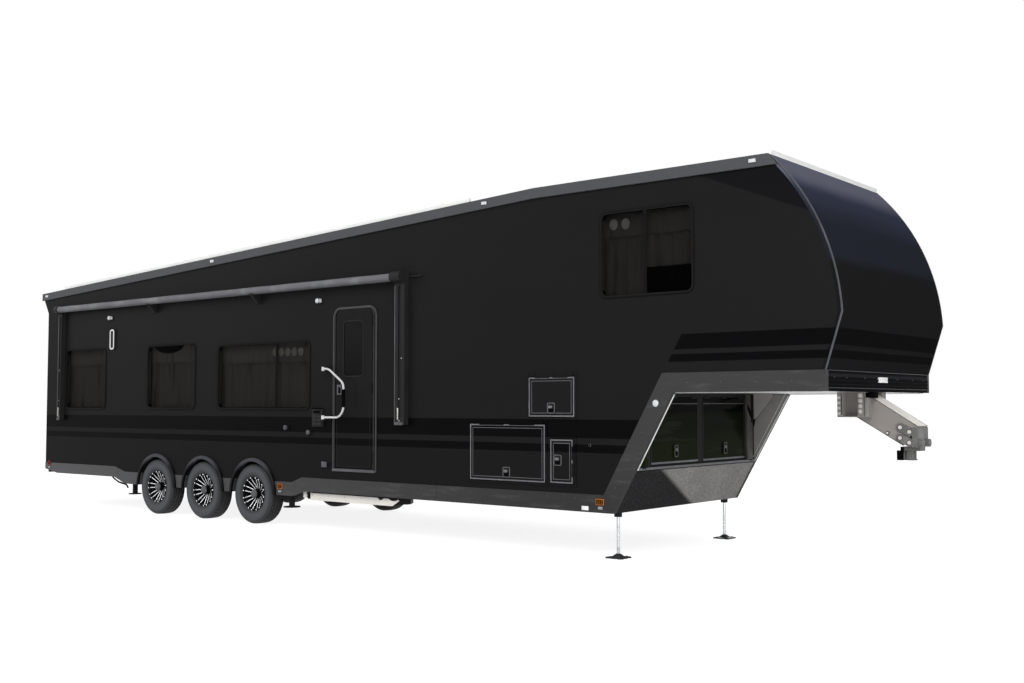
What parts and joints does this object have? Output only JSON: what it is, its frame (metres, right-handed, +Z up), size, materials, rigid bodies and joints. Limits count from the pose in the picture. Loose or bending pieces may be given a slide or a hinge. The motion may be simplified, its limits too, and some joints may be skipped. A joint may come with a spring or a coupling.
{
  "type": "fifth wheel trailer",
  "caption": "Tall black fifth wheel trailer with side awning, entry door, storage hatches, rear ramp, torsion axles, landing legs and a sprung gooseneck ball coupler.",
  "frame": {"origin": "on the ground under the middle of the trailer, half-way between the tail and the hitch head, on the body centre plane", "axes": "+X towards the hitch, +Y to the left side, +Z up"},
  "size_m": [13.682, 2.8018, 4.06],
  "materials": {
    "body_black": "gloss black paint",
    "trim_grey": "satin dark grey paint",
    "nose_trim": "satin black",
    "roof_white": "white roof membrane",
    "bare_aluminium": "mill finish",
    "deck": "plywood deck",
    "bay_panel": "mirror gloss black",
    "rock_guard": "speckled textured coating",
    "tinted_glass": "dark tint",
    "curtain_cloth": "dark pleated cloth",
    "awning_tube": "rolled dark awning",
    "handle_white": "white gloss",
    "bracket_black": "satin black",
    "leg_chrome": "plated",
    "hitch_grey": "semi-gloss grey",
    "lamp_amber": "amber lens",
    "lamp_red": "red lens",
    "lamp_clear": "clear lens",
    "tyre": "tyre rubber",
    "rim": "black with machined faces"
  },
  "bodies": {
    "trailer": {"awning_arms": "nose_trim", "awning_tube": "awning_tube", "ball_coupler": "hitch_grey", "body_skirts": "trim_grey", "chassis_frame": "bare_aluminium", "curtains": "curtain_cloth", "door_frame": "body_black", "entry_step": "bare_aluminium", "front_guard": "rock_guard", "hitch_arm": "hitch_grey", "hitch_bracket": "hitch_grey", "hitch_head": "hitch_grey", "lamps_amber": "lamp_amber", "lamps_clear": "lamp_clear", "lamps_red": "lamp_red", "landing_legs": "leg_chrome", "leg_sleeves": "bracket_black", "main_floor": "deck", "neck_bulkhead": "bay_panel", "neck_floor": "deck", "neck_frame": "bare_aluminium", "nose_band": "nose_trim", "nose_shell": "body_black", "opening_frames": "nose_trim", "rear_frame": "body_black", "roof_fascia": "trim_grey", "roof_panel": "roof_white", "roof_units": "roof_white", "torsion_axles": "bracket_black", "wall_fixtures": "nose_trim", "wall_left_front": "body_black", "wall_left_rear": "body_black", "wall_right_front": "body_black", "wall_right_rear": "body_black", "wheel_fenders": "nose_trim", "wheel_tubs": "deck", "window_glass": "tinted_glass"},
    "wheel_left_1": {"tyre_left_1": "tyre", "rim_left_1": "rim"},
    "wheel_left_2": {"tyre_left_2": "tyre", "rim_left_2": "rim"},
    "wheel_left_3": {"tyre_left_3": "tyre", "rim_left_3": "rim"},
    "wheel_right_1": {"tyre_right_1": "tyre", "rim_right_1": "rim"},
    "wheel_right_2": {"tyre_right_2": "tyre", "rim_right_2": "rim"},
    "wheel_right_3": {"tyre_right_3": "tyre", "rim_right_3": "rim"},
    "door": {"entry_door": "body_black", "door_glass": "tinted_glass"},
    "handle": {"grab_handle": "handle_white"},
    "hatch_upper_right": {"hatch_upper_right": "body_black"},
    "hatch_large_right": {"hatch_large_right": "body_black"},
    "hatch_narrow_right": {"hatch_narrow_right": "body_black"},
    "hatch_large_left": {"hatch_large_left": "body_black"},
    "bay_left": {"bay_door_left": "bay_panel"},
    "bay_right": {"bay_door_right": "bay_panel"},
    "ramp": {"ramp_door": "body_black"}
  },
  "joints": [
    {"name": "wheel_left_1_spin", "type": "hinge", "parent": "trailer", "child": "wheel_left_1", "pos_m": [-3.66565, 1.182, 0.39], "axis": [0, 1, 0], "continuous": true},
    {"name": "wheel_left_2_spin", "type": "hinge", "parent": "trailer", "child": "wheel_left_2", "pos_m": [-2.58865, 1.182, 0.39], "axis": [0, 1, 0], "continuous": true},
    {"name": "wheel_left_3_spin", "type": "hinge", "parent": "trailer", "child": "wheel_left_3", "pos_m": [-1.51165, 1.182, 0.39], "axis": [0, 1, 0], "continuous": true},
    {"name": "wheel_right_1_spin", "type": "hinge", "parent": "trailer", "child": "wheel_right_1", "pos_m": [-3.66565, -1.182, 0.39], "axis": [0, 1, 0], "continuous": true},
    {"name": "wheel_right_2_spin", "type": "hinge", "parent": "trailer", "child": "wheel_right_2", "pos_m": [-2.58865, -1.182, 0.39], "axis": [0, 1, 0], "continuous": true},
    {"name": "wheel_right_3_spin", "type": "hinge", "parent": "trailer", "child": "wheel_right_3", "pos_m": [-1.51165, -1.182, 0.39], "axis": [0, 1, 0], "continuous": true},
    {"name": "entry_door_hinge", "type": "hinge", "parent": "trailer", "child": "door", "pos_m": [0.71586, -1.3133, 1.75], "axis": [0, 0, 1], "range_deg": [0, 90]},
    {"name": "grab_handle_hinge", "type": "hinge", "parent": "trailer", "child": "handle", "pos_m": [-0.04864, -1.395, 1.695], "axis": [0, 0, 1], "range_deg": [-189, 0]},
    {"name": "hatch_upper_right_hinge", "type": "hinge", "parent": "trailer", "child": "hatch_upper_right", "pos_m": [3.386, -1.3093, 1.8565], "axis": [-1, 0, 0], "range_deg": [0, 90]},
    {"name": "hatch_large_right_hinge", "type": "hinge", "parent": "trailer", "child": "hatch_large_right", "pos_m": [2.783, -1.3093, 1.3585], "axis": [-1, 0, 0], "range_deg": [0, 90]},
    {"name": "hatch_large_left_hinge", "type": "hinge", "parent": "trailer", "child": "hatch_large_left", "pos_m": [2.783, 1.3093, 1.3585], "axis": [1, 0, 0], "range_deg": [0, 90]},
    {"name": "hatch_narrow_right_hinge", "type": "hinge", "parent": "trailer", "child": "hatch_narrow_right", "pos_m": [3.6785, -1.3093, 0.965], "axis": [0, 0, 1], "range_deg": [0, 110]},
    {"name": "bay_left_hinge", "type": "hinge", "parent": "trailer", "child": "bay_left", "pos_m": [4.40229, 0.5525, 1.621], "axis": [0, -1, 0], "range_deg": [0, 80]},
    {"name": "bay_right_hinge", "type": "hinge", "parent": "trailer", "child": "bay_right", "pos_m": [4.40229, -0.5, 1.621], "axis": [0, -1, 0], "range_deg": [0, 80]},
    {"name": "ramp_hinge", "type": "hinge", "parent": "trailer", "child": "ramp", "pos_m": [-6.7063, 0, 0.685], "axis": [0, -1, 0], "range_deg": [0, 104]}
  ],
  "couplings": [
    {"joint": "grab_handle_hinge", "follows": "entry_door_hinge", "ratio": -2.1}
  ]
}
